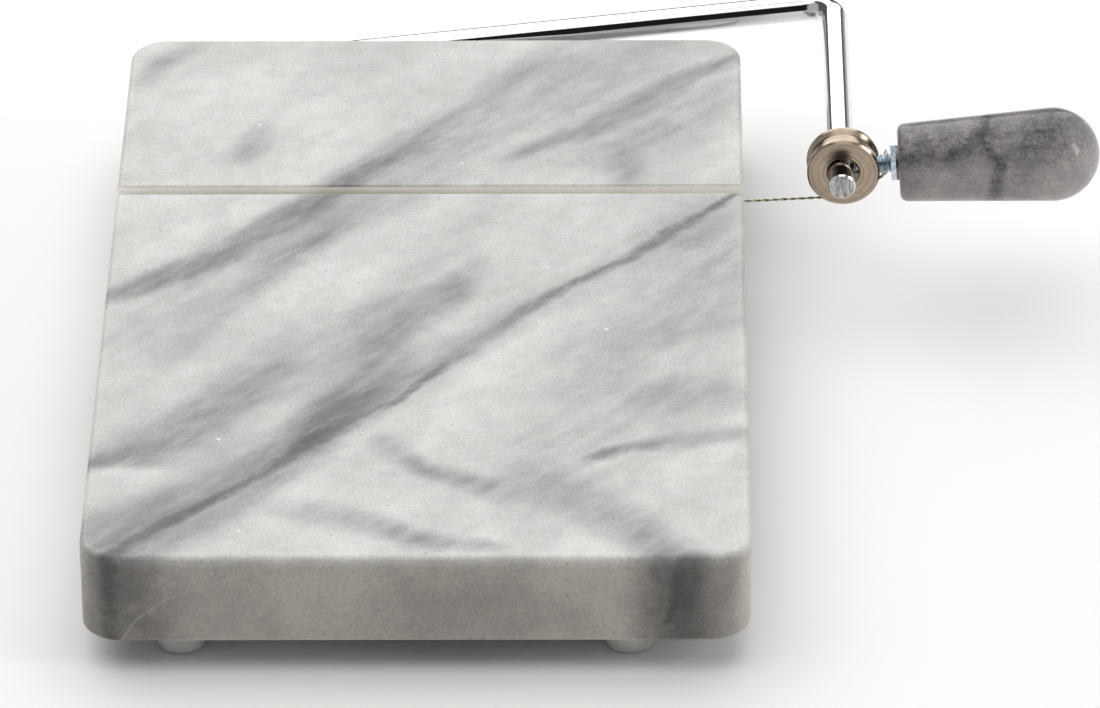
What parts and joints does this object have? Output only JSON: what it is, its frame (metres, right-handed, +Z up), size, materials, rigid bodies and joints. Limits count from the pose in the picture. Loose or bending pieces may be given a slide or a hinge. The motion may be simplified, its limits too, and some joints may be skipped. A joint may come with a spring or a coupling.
{
  "type": "cheese wire cutter",
  "caption": "Marble serving board with a cross groove and a hinged chromed arm that pulls a taut steel wire down through cheese into the groove.",
  "frame": {"origin": "centre of the footprint box of the whole cutter with its arm down, on the surface that it stands on", "axes": "+Z up; +Y from the board's front edge to its back edge, where the arm pivots; +X to the right, towards the handle"},
  "size_m": [0.1988, 0.2106, 0.0433],
  "materials": {
    "marble": "honed white marble with soft grey veins",
    "grey_marble": "polished grey marble with dark veins",
    "foot_rubber": "pale grey soft rubber",
    "foam_tape": "thin white double-sided foam tape",
    "nylon": "natural nylon",
    "chromed_steel": "bright chrome plate over steel rod",
    "nickel": "warm nickel plate over turned steel",
    "wire_steel": "twisted two-strand stainless wire",
    "zinc_steel": "bright zinc plate with a blue passivated tint",
    "dark_steel": "dark oiled spring steel",
    "brass": "plain turned brass"
  },
  "bodies": {
    "base": {"board": "marble", "pivot_sleeve": "nylon", "foot_front_left": "foot_rubber", "foot_front_right": "foot_rubber", "foot_back_left": "foot_rubber", "foot_back_right": "foot_rubber", "foot_pad_front_left": "foam_tape", "foot_pad_front_right": "foam_tape", "foot_pad_back_left": "foam_tape", "foot_pad_back_right": "foam_tape"},
    "arm": {"arm_rod": "chromed_steel"},
    "wire": {"cutting_wire": "wire_steel", "wire_end_ball": "brass"},
    "wheel": {"tension_wheel": "nickel", "wire_end_loop": "wire_steel"},
    "handle": {"handle_grip": "grey_marble", "handle_insert": "brass", "handle_stud": "zinc_steel", "jam_nut": "zinc_steel", "lock_washer": "dark_steel"}
  },
  "joints": [
    {"name": "arm_swing", "type": "hinge", "parent": "base", "child": "arm", "pos_m": [-0.07543, 0.03425, 0.0175], "axis": [0, -1, 0], "range_deg": [0, 176]},
    {"name": "wheel_turn", "type": "hinge", "parent": "arm", "child": "wheel", "pos_m": [0.0477, 0.03425, 0.03129], "axis": [0, -1, 0], "range_deg": [-15, 0]},
    {"name": "wire_feed", "type": "slide", "parent": "arm", "child": "wire", "axis": [0.9985, 0, 0.0541], "range_m": [-0.00187, 0]},
    {"name": "handle_screw", "type": "hinge", "parent": "wheel", "child": "handle", "pos_m": [0.0477, 0.03425, 0.03129], "axis": [0.9981, 0, 0.061], "range_deg": [0, 540]}
  ],
  "couplings": [
    {"joint": "wire_feed", "follows": "wheel_turn", "m_per_rad": 0.007105}
  ]
}
